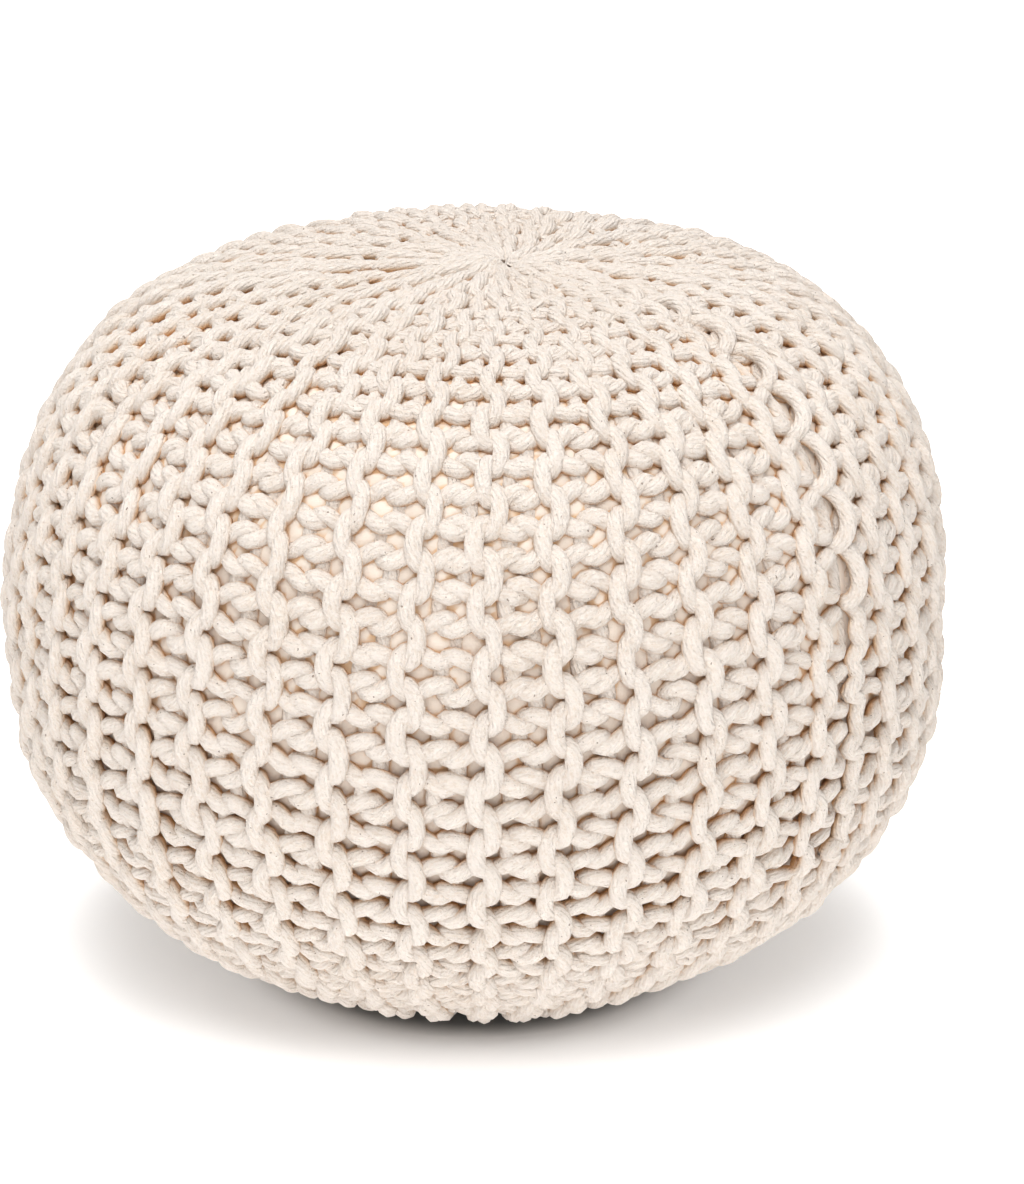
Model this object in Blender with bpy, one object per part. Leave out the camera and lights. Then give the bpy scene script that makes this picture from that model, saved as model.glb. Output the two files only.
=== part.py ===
"""Round knitted pouf: a ribbed knitted cover, drawn together at the top, round a filled casing.

Run with blender --background --python part.py, or from the text editor.
Metres, +Z up. The origin is on the floor, under the middle of the pouf.
The front is at -Y. Azimuths are counted from +X towards +Y.
"""
import math

import bmesh
import bpy

# Driving dimensions
DIAMETER = 0.4572
HEIGHT = 0.3556
WIDEST_HEIGHT = 0.170
BASE_RADIUS = 0.080
COVER_THICKNESS = 0.016
CASING_GAP = 0.0004

# The meridian is two quarters of a superellipse: (radius ** a) + (height ** b) = 1
CROWN_RADIUS_POWER = 3.9
CROWN_HEIGHT_POWER = 2.35
UNDERSIDE_RADIUS_POWER = 1.3
UNDERSIDE_HEIGHT_POWER = 2.35

# The ribs are the ridges of the knitted rows, which run from the base to the crown
RIBS = 42
RIB_RISE = 0.0055
RIB_RISE_PER_PITCH = 0.16
RIB_WANDER = math.radians(0.7)
RIB_FADE = 0.05

# One side seam joins the first row to the last
SEAM_AZIMUTH = math.radians(-41.5)
SEAM_WIDTH = math.radians(2.6)
SEAM_DEPTH = 0.0025

# The crown's stitches are drawn together a little to the right of the middle
GATHER_OFFSET = 0.012
GATHER_DIP = 0.004
GATHER_RADIUS = 0.020
MOUTH_RADIUS = 0.004

# Loose filling leaves the sides slightly uneven
LUMP_HEIGHT = 0.0012

# Mesh density
COLUMNS_PER_RIB = 4
CAVITY_COLUMNS = 42
RINGS = 22
OUTLINE_SAMPLES = 400
MOUTH_SIDES = 16

COVER_COLOUR = (0.84, 0.76, 0.67, 1.0)
CASING_COLOUR = (0.82, 0.73, 0.60, 1.0)


def clear_scene():
    """Empty the scene that Blender opened with."""
    for item in list(bpy.data.objects):
        bpy.data.objects.remove(item, do_unlink=True)


def fabric_material(name, colour, roughness):
    """A plain, unpolished cloth finish."""
    material = bpy.data.materials.new(name)
    material.use_nodes = True
    shader = material.node_tree.nodes["Principled BSDF"]
    shader.inputs["Base Color"].default_value = colour
    shader.inputs["Roughness"].default_value = roughness
    shader.inputs["Metallic"].default_value = 0.0
    material.diffuse_color = colour
    return material


def superellipse_quarter(turn, radius_power, height_power):
    """Radius and height, both from 0 to 1, a share of the way from the widest ring to the pole."""
    angle = turn * math.pi / 2
    return math.cos(angle) ** (2 / radius_power), math.sin(angle) ** (2 / height_power)


def gather_dip(radius):
    """How far the crown sinks where its stitches are drawn together."""
    return GATHER_DIP * math.exp(-((radius / GATHER_RADIUS) ** 2))


def meridian():
    """The outline of one side as fine (radius, height) points, from the base's rim to the pole."""
    widest_radius = DIAMETER / 2
    turns = [step / OUTLINE_SAMPLES for step in range(OUTLINE_SAMPLES + 1)]
    underside = []
    crown = []
    for turn in turns:
        across, along = superellipse_quarter(turn, UNDERSIDE_RADIUS_POWER, UNDERSIDE_HEIGHT_POWER)
        underside.append((
            BASE_RADIUS + (widest_radius - BASE_RADIUS) * across,
            WIDEST_HEIGHT * (1 - along),
        ))
        across, along = superellipse_quarter(turn, CROWN_RADIUS_POWER, CROWN_HEIGHT_POWER)
        radius = widest_radius * across
        crown.append((radius, WIDEST_HEIGHT + (HEIGHT - WIDEST_HEIGHT) * along - gather_dip(radius)))
    return underside[::-1] + crown[1:]


def resampled(points, count):
    """Points at equal distances along a polyline, its two ends among them."""
    lengths = [0.0]
    for start, end in zip(points, points[1:]):
        lengths.append(lengths[-1] + math.dist(start, end))
    result = []
    segment = 0
    for step in range(count + 1):
        target = lengths[-1] * step / count
        while segment < len(points) - 2 and lengths[segment + 1] < target:
            segment += 1
        share = (target - lengths[segment]) / (lengths[segment + 1] - lengths[segment])
        start, end = points[segment], points[segment + 1]
        result.append((
            start[0] + (end[0] - start[0]) * share,
            start[1] + (end[1] - start[1]) * share,
        ))
    return result


def section():
    """The section's (radius, height) points: the base's centre, its rim, the side and the pole."""
    side = resampled(meridian(), RINGS - 1)
    side[0] = (BASE_RADIUS, 0.0)
    side[-1] = (0.0, side[-1][1])
    return [(0.0, 0.0)] + side


def segment_normal(start, end):
    """The unit normal of one segment of the section, pointing out of the pouf."""
    along_radius = end[0] - start[0]
    along_height = end[1] - start[1]
    length = math.hypot(along_radius, along_height)
    return along_height / length, -along_radius / length


def point_normals(points):
    """For each point, the offset that moves both of its segments out by one unit."""
    segments = [segment_normal(start, end) for start, end in zip(points, points[1:])]
    normals = [(0.0, -1.0)]
    for before, after in zip(segments, segments[1:]):
        total = (before[0] + after[0], before[1] + after[1])
        stretch = total[0] * before[0] + total[1] * before[1]
        normals.append((total[0] / stretch, total[1] / stretch))
    normals.append((0.0, 1.0))
    return normals


def rib_depth(azimuth, radius, station):
    """How deep the surface lies under the ribs' crests. The ribs die out towards both ends."""
    wander = RIB_WANDER * math.sin(4 * azimuth + 5 * station) * math.sin(math.pi * station)
    # Two of a rib's four columns lie on its crest and two in the hollow beside it
    half_column = math.pi / COLUMNS_PER_RIB
    wave = math.cos(RIBS * (azimuth + wander) + half_column) / math.cos(half_column)
    hollow = 0.5 - 0.5 * max(-1.0, min(1.0, wave))
    rise = min(RIB_RISE, RIB_RISE_PER_PITCH * math.tau * radius / RIBS)
    fade = min(1.0, station / RIB_FADE)
    seam = SEAM_DEPTH * math.exp(-(((azimuth - SEAM_AZIMUTH) / SEAM_WIDTH) ** 2))
    return fade * (rise * hollow + seam * rise / RIB_RISE)


def lump(azimuth, station):
    """The slight unevenness of the filling, the same on opposite sides so the pouf stays centred."""
    wave = math.sin(2 * azimuth + 3 * station) + math.sin(4 * azimuth - 6 * station)
    return LUMP_HEIGHT * 0.5 * wave * math.sin(math.pi * station) ** 2


def closed_form(name, columns, inset, ribbed):
    """A closed body of the pouf's form, set in by a distance, with or without the ribs."""
    points = section()
    normals = point_normals(points)
    form = bmesh.new()
    bmesh.ops.create_uvsphere(form, u_segments=columns, v_segments=RINGS, radius=1.0)
    for vert in form.verts:
        polar = math.acos(max(-1.0, min(1.0, -vert.co.z)))
        ring = round(polar / math.pi * RINGS)
        azimuth = math.atan2(vert.co.y, vert.co.x)
        radius, height = points[ring]
        station = max(0, ring - 1) / (RINGS - 1)
        depth = inset - lump(azimuth, station)
        if ribbed:
            depth += rib_depth(azimuth, radius, station)
        radius_in = max(0.0, radius - depth * normals[ring][0]) if radius > 0 else 0.0
        height_in = height - depth * normals[ring][1]
        lean = GATHER_OFFSET * (1 - radius / (DIAMETER / 2)) if height > WIDEST_HEIGHT else 0.0
        vert.co = (radius_in * math.cos(azimuth) + lean, radius_in * math.sin(azimuth), height_in)
    bmesh.ops.recalc_face_normals(form, faces=form.faces)
    mesh = bpy.data.meshes.new(name)
    form.to_mesh(mesh)
    form.free()
    mesh.shade_smooth()
    return bpy.data.objects.new(name, mesh)


def mouth_cutter(name):
    """The round hole that is left where the crown is drawn together."""
    form = bmesh.new()
    depth = 3 * COVER_THICKNESS
    bmesh.ops.create_cone(
        form, cap_ends=True, segments=MOUTH_SIDES, radius1=MOUTH_RADIUS, radius2=MOUTH_RADIUS, depth=depth
    )
    bmesh.ops.translate(form, verts=form.verts, vec=(GATHER_OFFSET, 0.0, HEIGHT))
    mesh = bpy.data.meshes.new(name)
    form.to_mesh(mesh)
    form.free()
    return bpy.data.objects.new(name, mesh)


def cut(target, cutter):
    """Take one closed form out of another."""
    modifier = target.modifiers.new(cutter.name, "BOOLEAN")
    modifier.operation = "DIFFERENCE"
    modifier.solver = "EXACT"
    modifier.object = cutter


def hide_cutter(cutter):
    """Show a cutter as a wireframe only."""
    cutter.hide_render = True
    cutter.display_type = "WIRE"


def main():
    clear_scene()
    pouf = bpy.data.collections.new("knitted_pouf")
    cutters = bpy.data.collections.new("cutters")
    bpy.context.scene.collection.children.link(pouf)
    bpy.context.scene.collection.children.link(cutters)

    cover = closed_form("knitted_cover", COLUMNS_PER_RIB * RIBS, 0.0, True)
    cover.data.materials.append(fabric_material("cover_yarn", COVER_COLOUR, 0.95))
    cavity = closed_form("cover_inside", CAVITY_COLUMNS, COVER_THICKNESS, False)
    mouth = mouth_cutter("cover_mouth")
    for cutter in (cavity, mouth):
        hide_cutter(cutter)
        cutters.objects.link(cutter)
        cut(cover, cutter)
    pouf.objects.link(cover)

    casing = closed_form("inner_casing", CAVITY_COLUMNS, COVER_THICKNESS + CASING_GAP, False)
    casing.data.materials.append(fabric_material("casing_cloth", CASING_COLOUR, 0.9))
    pouf.objects.link(casing)


main()
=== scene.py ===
"""Round knitted pouf: its yarn cover, its filled casing and a plain studio stage.

The cover is garter stitch in thick cotton cord. Its rows run from the base to the crown, side by side
round the pouf. One stitch is settled first, as cords that press on each other, at several row
spacings. It is then laid out over the whole pouf, stitch by stitch.
Metres, +Z up, the front at -Y. Azimuths are counted from +X towards +Y.
"""
import math

import bpy
import numpy as np
from bpy.props import FloatProperty, FloatVectorProperty, IntProperty, PointerProperty
from mathutils.kdtree import KDTree
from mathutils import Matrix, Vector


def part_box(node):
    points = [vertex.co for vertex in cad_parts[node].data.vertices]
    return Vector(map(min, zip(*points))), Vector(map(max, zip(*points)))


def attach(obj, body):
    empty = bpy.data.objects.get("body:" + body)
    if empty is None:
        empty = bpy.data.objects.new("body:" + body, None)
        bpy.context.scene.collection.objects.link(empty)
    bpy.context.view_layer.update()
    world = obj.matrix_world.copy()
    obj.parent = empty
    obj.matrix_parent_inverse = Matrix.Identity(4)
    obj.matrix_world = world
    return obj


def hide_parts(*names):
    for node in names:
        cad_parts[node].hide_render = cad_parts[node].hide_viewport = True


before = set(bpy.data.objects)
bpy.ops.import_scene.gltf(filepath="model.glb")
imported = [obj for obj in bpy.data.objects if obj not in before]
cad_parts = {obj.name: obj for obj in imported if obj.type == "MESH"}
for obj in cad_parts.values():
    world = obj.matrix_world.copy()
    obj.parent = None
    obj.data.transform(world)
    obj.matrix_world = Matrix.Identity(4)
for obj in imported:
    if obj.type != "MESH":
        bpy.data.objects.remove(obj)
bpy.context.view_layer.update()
COVER_LOW, COVER_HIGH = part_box("knitted_cover")

bl_info = {
    "name": "Knitted pouf",
    "version": (1, 0, 0),
    "blender": (4, 5, 0),
    "location": "View3D > Sidebar > Pouf",
    "description": "Knits a round pouf's cover stitch by stitch over its filled casing",
    "category": "Add Mesh",
}

# The form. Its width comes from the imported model, and the rest repeats the outline of the solids.
WIDEST_RADIUS = (COVER_HIGH[0] - COVER_LOW[0]) / 2
HEIGHT = 0.3556
WIDEST_HEIGHT = 0.170
BASE_RADIUS = 0.080
CROWN_POWERS = (3.9, 2.35)
UNDERSIDE_POWERS = (1.3, 2.35)
OUTLINE_SAMPLES = 600
NORMAL_BLUR = 17

# The crown's middle lies a little to the right of the axis and behind it
GATHER_OFFSET = 0.0142
GATHER_BACK = 0.006
GATHER_DIP = 0.001
GATHER_RADIUS = 0.020

# The side seam, as an azimuth
SEAM_AZIMUTH = math.radians(-40.3)

# One knitted stitch as points of its cord, settled at several distances from row to row
SAMPLES = 24
ROW_SPACINGS = (0.0164, 0.0135, 0.0110, 0.0085, 0.0065, 0.0050)
START_LEAN = 0.18
START_REACH = 0.8
START_HEIGHT = 0.0045

# Settling: how many steps it takes, and how much of each fault one step mends
FIRST_STEPS = 1500
NEXT_STEPS = 500
FIRST_THICKNESS = 0.4
GROWING_SHARE = 0.5
STRETCH_MEND = 0.25
BEND_MEND = 0.05
OVERLAP_MEND = 0.6
MOST_TOUCHING = 2
OWN_REACH = 1.15
FIRM_RATE = 1.6
CENTRING_STEPS = 10

# Where the fabric changes. Each pair is the lowest and the highest value of one smooth change:
# first of the row spacing, then of the height, the radius, the sine of the azimuth and the row's number.
SQUEEZED_SPACING = (0.0070, 0.0130)
TIGHT_SPACING = (0.0090, 0.0155)
THIN_SPACING = (0.0115, 0.0150)
VALLEY_SPACING = (0.0085, 0.0155)
CROWN_HEIGHT = (0.16, 0.22)
MOUTH_RADIUS = (0.006, 0.012)
SIDE_SINE = (-0.95, -0.2)
FOLD_ROWS = (1.0, 4.0)

# The crown's cord is pulled thin where it lies low: how much on the right and in front, next to the
# left, and how deep it lies where the pull is whole
PULL_RIGHT = 0.5
PULL_FRONT = 0.2
SUNK_DEPTH = 0.009

# The order in which four neighbouring strands lie over each other where they have no room side by side
STRAND_LAYERS = (0.0, 0.5, 1.0, 0.9)
MOST_LAYERS = 4
LEAST_RADIUS = 0.004

# An uneven hand. Drifts: size, waves round the pouf and length, for each of along the row, across it in
# rows, and depth. Shifts of single stitches: their sizes, in the same order.
DRIFTS = ((0.0022, 5, 0.4), (0.10, 14, 0.10), (0.0006, 12, 0.08))
SHIFTS = (0.0007, 0.05, 0.0004)
FOLD_UNEVEN = 0.25
FOLD_LIMITS = (0.4, 1.15)
GIRTH_UNEVEN = 0.05

# The seam's chain: shares of the cord's thickness, first where it is straight, then where it is slack
SEAM_SWING = (0.08, 0.58)
SEAM_REACH = (0.10, 0.70)
SEAM_RISE = (0.06, 0.40)
RISE_LEAD = 0.5
SLACK_LINE = (0.34, 0.42)
SLACK_RADIUS = (0.03, 0.12)
HOOK_RADIUS = (0.10, 0.15)
HOOK_POWER = 6
SEAM_LEAST_RADIUS = 0.010
SEAM_WANDER = 0.0008
SEAM_GIRTH = 0.97
SEAM_UNEVEN = 0.04

# The yarn's relief and tone: how much each pattern adds
PLY_RELIEF = 0.50
FUZZ_RELIEF = 1.6
YARN_BUMP = 0.0010
FIBRES_ROUND = 3.0
FIBRES_ALONG = 340.0
TONE_PARTS = (0.38, 0.25, 0.22, 0.15)
TONE = (0.34, 0.56)

# Painted shade on the yarn: how deep it lies, as a share of the relief, where it is painted warm and where
# it is painted brown in place of the shade that falls there: first on faces that look inwards, then on all
PAINTED_WARM_SHADE_UNDER = (0.15, 0.45)
PAINTED_WARM_SHADE_DEEP = (0.50, 0.80)
PAINTED_BROWN_SHADE_UNDER = (0.30, 0.60)
PAINTED_BROWN_SHADE_DEEP = (0.62, 0.92)
PAINTED_BROWN_SHADE_SHARE = 0.9
FACING = (-0.55, 0.55)
DEPTH_PATCHES = 0.25
DEPTH_TUFTS = 0.2
DEPTH_MEAN = 0.22

# The few dark flecks of seed husk
HUSK_LEVEL = 0.845
HUSK_SHARE = 0.7
HUSK_COLOUR = (0.20, 0.12, 0.07, 1.0)

# The casing's form: its mesh, and the radius or heights over which its depth changes
CASING_COLUMNS = 96
CASING_RINGS = 64
CASING_END_RADIUS = (0.03, 0.10)
CASING_LOW_HEIGHT = (0.10, 0.23)
CASING_CROWN_HEIGHT = (0.25, 0.31)

# Filling the casing: the cloth simulation, and the share of the slack that each point moves at least
CLOTH_FRAMES = 20
CLOTH_QUALITY = 5
CLOTH_MASS = 0.3
LEAST_FILL = 0.8
CORD_OVERLAP = 0.0005
CASING_FLOOR_GAP = 0.002
# Painted shade on the casing near the cords: the pressed share over which it comes in, and how uneven it
# is
PAINTED_CORD_SHADE_RANGE = (0.40, 1.00)
PAINTED_CORD_SHADE_MOTTLE = 0.3
WEAVE_RADIUS = 0.2
WEAVE_BUMP = 0.0003

# The studio: each light's place and size, and the camera's shift
LIGHTS = {
    "key": ((-0.15, -1.3, 2.4), 1.6),
    "front": ((0.3, -2.4, 0.9), 1.4),
    "top": ((-0.2, 0.3, 2.6), 1.8),
}
CAMERA_SHIFT = (0.0313, 0.0135)
FLOOR_REACH = 12.0
SQUARE = ((-1, -1), (1, -1), (1, 1), (-1, 1))

# The floor's painted soft shadow: a round part near the pouf, a part that is longer to the sides, and a
# dark base colour
ROUND_SHARE = 0.4
ROUND_WIDTH = 1.28
LONG_SCALE = (0.575, 1.0, 1.0)
LONG_SHIFT = (0.008, 0.0, 0.0)
CONTACT_WIDTH = 1.2
PAINTED_CONTACT_SHADOW_COLOUR = (0.22, 0.22, 0.22, 1.0)

WHITE = (1.0, 1.0, 1.0, 1.0)
BLACK = (0.0, 0.0, 0.0, 1.0)
SEED = 18


def smooth_step(value, low, high):
    """0 up to low, 1 from high on, and a smooth rise between."""
    share = np.clip((value - low) / (high - low), 0.0, 1.0)
    return share * share * (3 - 2 * share)


def mixed(first, second, share):
    """The first value at a share of 0, the second at 1, and a straight change between."""
    return first * (1 - share) + second * share


# Form


def superellipse_quarter(turns, radius_power, height_power):
    """Radius and height, both from 0 to 1, from the widest ring to the pole."""
    angles = turns * math.pi / 2
    return np.cos(angles).clip(0) ** (2 / radius_power), np.sin(angles) ** (2 / height_power)


class Meridian:
    """The pouf's outline in section, by its length from the middle of the base to the crown."""

    def __init__(self):
        turns = np.linspace(0.0, 1.0, OUTLINE_SAMPLES)
        across, along = superellipse_quarter(turns, *UNDERSIDE_POWERS)
        low_radius = BASE_RADIUS + (WIDEST_RADIUS - BASE_RADIUS) * across
        low_height = WIDEST_HEIGHT * (1 - along)
        across, along = superellipse_quarter(turns, *CROWN_POWERS)
        high_radius = WIDEST_RADIUS * across
        high_height = WIDEST_HEIGHT + (HEIGHT - WIDEST_HEIGHT) * along
        high_height = high_height - GATHER_DIP * np.exp(-((high_radius / GATHER_RADIUS) ** 2))
        radius = np.concatenate([[0.0], low_radius[::-1], high_radius[1:]])
        height = np.concatenate([[0.0], low_height[::-1], high_height[1:]])
        lengths = np.concatenate([[0.0], np.cumsum(np.hypot(np.diff(radius), np.diff(height)))])
        self.length = lengths[-1]
        self.along = np.linspace(0.0, self.length, 2 * OUTLINE_SAMPLES)
        self.radius = np.interp(self.along, lengths, radius)
        self.height = np.interp(self.along, lengths, height)
        slope_radius = np.gradient(self.radius, self.along)
        slope_height = np.gradient(self.height, self.along)
        blur = np.hanning(NORMAL_BLUR) / np.hanning(NORMAL_BLUR).sum()
        out_radius = np.convolve(np.pad(slope_height, NORMAL_BLUR // 2, "edge"), blur, "valid")
        out_height = -np.convolve(np.pad(slope_radius, NORMAL_BLUR // 2, "edge"), blur, "valid")
        size = np.hypot(out_radius, out_height)
        self.out_radius = out_radius / size
        self.out_height = out_height / size

    def radius_at(self, along):
        """Distance from the axis at a length along the outline."""
        return np.interp(along, self.along, self.radius)

    def height_at(self, along):
        """Height above the floor at a length along the outline."""
        return np.interp(along, self.along, self.height)

    def place(self, along, azimuth, depth):
        """Points in space at lengths along the outline, azimuths and depths under the surface."""
        radius = self.radius_at(along)
        height = self.height_at(along)
        lean = (1 - radius / WIDEST_RADIUS) * (height > WIDEST_HEIGHT)
        radius_in = radius - depth * np.interp(along, self.along, self.out_radius)
        height_in = height - depth * np.interp(along, self.along, self.out_height)
        radius_in = np.maximum(radius_in, 0.0)
        return np.stack([
            radius_in * np.cos(azimuth) + GATHER_OFFSET * lean,
            radius_in * np.sin(azimuth) + GATHER_BACK * lean,
            height_in,
        ], axis=-1)

    def outward(self, along, azimuth):
        """Directions out of the pouf at lengths along the outline and azimuths."""
        out_radius = np.interp(along, self.along, self.out_radius)
        out_height = np.interp(along, self.along, self.out_height)
        flat = (out_radius * np.cos(azimuth), out_radius * np.sin(azimuth))
        return np.stack([*flat, out_height], axis=-1)


# Settling cords


def stitch_start(pitch, spacing):
    """One stitch of a plain row and of a purl row as smooth waves, woven through each other."""
    phase = np.arange(SAMPLES) / SAMPLES * math.tau
    unit = np.zeros((2, SAMPLES, 3))
    for row, side in enumerate((-1.0, 1.0)):
        unit[row, :, 0] = pitch * phase / math.tau + START_LEAN * pitch * np.sin(2 * phase)
        unit[row, :, 1] = row * spacing - START_REACH * spacing * np.cos(phase)
        unit[row, :, 2] = side * START_HEIGHT * np.cos(phase)
    return unit


def shifted(unit, steps, pitch):
    """The points that lie some steps further back along each repeating row."""
    moved = np.roll(unit, steps, axis=1)
    if steps > 0:
        moved[:, :steps, 0] -= pitch
    else:
        moved[:, steps:, 0] += pitch
    return moved


def settle_stitch(unit, pitch, spacing, cover, steps, first_share):
    """Pull the cords straight, keep their length and press them apart until the stitch is at rest."""
    narrowed = (ROW_SPACINGS[0] - spacing) / (ROW_SPACINGS[0] - ROW_SPACINGS[-1])
    firm = cover.crossing + (cover.crowded - cover.crossing) * min(1.0, FIRM_RATE * narrowed)
    contact = cover.cord * firm
    part = (cover.loop_length - cover.tighten * (ROW_SPACINGS[0] - spacing)) / SAMPLES
    # Points of one cord that are this close along it may also be close in space
    near = int(math.ceil(OWN_REACH * contact / part)) + 1
    numbers = np.arange(SAMPLES)
    images = []
    for beside in (-1, 0, 1):
        for ahead in (-1, 0, 1):
            allowed = np.ones((2, SAMPLES, 2, SAMPLES), bool)
            if beside == 0:
                close = np.abs(numbers[None, :] + ahead * SAMPLES - numbers[:, None]) < near
                for row in (0, 1):
                    allowed[row, :, row, :] = ~close
            offset = np.array([ahead * pitch, 2 * beside * spacing, 0.0])
            images.append((offset, allowed.reshape(2 * SAMPLES, 2 * SAMPLES)))
    for step in range(steps):
        grown = step / (GROWING_SHARE * steps)
        reach = contact * min(1.0, first_share + (1 - first_share) * grown)
        ahead = shifted(unit, -1, pitch)
        link = ahead - unit
        size = np.linalg.norm(link, axis=2, keepdims=True)
        pull = STRETCH_MEND * (size - part) / size * link
        move = pull - np.roll(pull, 1, axis=1)
        bend = 4 * (shifted(unit, 1, pitch) + ahead) - 6 * unit
        move += BEND_MEND * (bend - shifted(unit, 2, pitch) - shifted(unit, -2, pitch))
        flat = unit.reshape(-1, 3)
        push = np.zeros_like(flat)
        touching = np.zeros(len(flat))
        for offset, allowed in images:
            apart = flat[:, None, :] - (flat[None, :, :] + offset)
            distance = np.sqrt((apart ** 2).sum(-1)) + 1e-9
            overlap = np.where(allowed, np.maximum(reach - distance, 0.0), 0.0)
            push += 0.5 * ((overlap / distance)[:, :, None] * apart).sum(1)
            touching += (overlap > 0).sum(1)
        share = np.minimum(touching, MOST_TOUCHING) / np.maximum(touching, 1)
        move += OVERLAP_MEND * (push * share[:, None]).reshape(unit.shape)
        move[..., 2] -= cover.press
        unit = unit + move
        unit[..., 2] = np.maximum(unit[..., 2], -cover.bed + contact / 2)
        if step % CENTRING_STEPS == 0:
            unit[..., 0] -= unit[..., 0].mean() - pitch * (SAMPLES - 1) / (2 * SAMPLES)
            unit[..., 1] -= unit[..., 1].mean() - spacing / 2
    return unit


def settled_stitches(cover):
    """The stitch at each row spacing: its shift along the row, shift across in rows, and height."""
    spacing = ROW_SPACINGS[0]
    unit = stitch_start(cover.pitch, spacing)
    unit = settle_stitch(unit, cover.pitch, spacing, cover, FIRST_STEPS, FIRST_THICKNESS)
    result = []
    for following in ROW_SPACINGS:
        if following != spacing:
            unit[..., 1] *= following / spacing
            spacing = following
            unit = settle_stitch(unit, cover.pitch, spacing, cover, NEXT_STEPS, 1.0)
        shape = unit.copy()
        shape[..., 0] -= cover.pitch * np.arange(SAMPLES) / SAMPLES
        shape[..., 1] = shape[..., 1] / spacing - np.arange(2)[:, None]
        shape[..., 2] -= shape[..., 2].max()
        result.append(shape)
    result = np.array(result)
    return result[:1] + cover.give * (result - result[:1])


# Laying the stitches out


def ripple(rng, azimuth, along, waves, length, terms=14):
    """A smooth random field of size 1 that closes on itself round the pouf."""
    total = np.zeros_like(along)
    for _ in range(terms):
        turns = rng.integers(-waves, waves + 1)
        rate = rng.uniform(-1.0, 1.0) * math.tau / length
        total += np.cos(turns * azimuth + rate * along + rng.uniform(0, math.tau))
    return total / math.sqrt(terms / 2)


def stitch_pitch(cover, meridian):
    """Length of one stitch along its row, from the end at the base to the end at the crown."""
    return (meridian.length - 2 * cover.end_radius) / cover.stitches


def stitch_shifts(cover, rng, size):
    """A random shift of each stitch, which blends smoothly from one stitch to the next."""
    noise = rng.normal(size=(cover.rows, cover.stitches + 2))
    position = np.arange(cover.stitches * SAMPLES) / SAMPLES
    first = position.astype(int)
    blend = smooth_step(position - first, 0.0, 1.0)
    return size * mixed(noise[:, first], noise[:, first + 1], blend)


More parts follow.
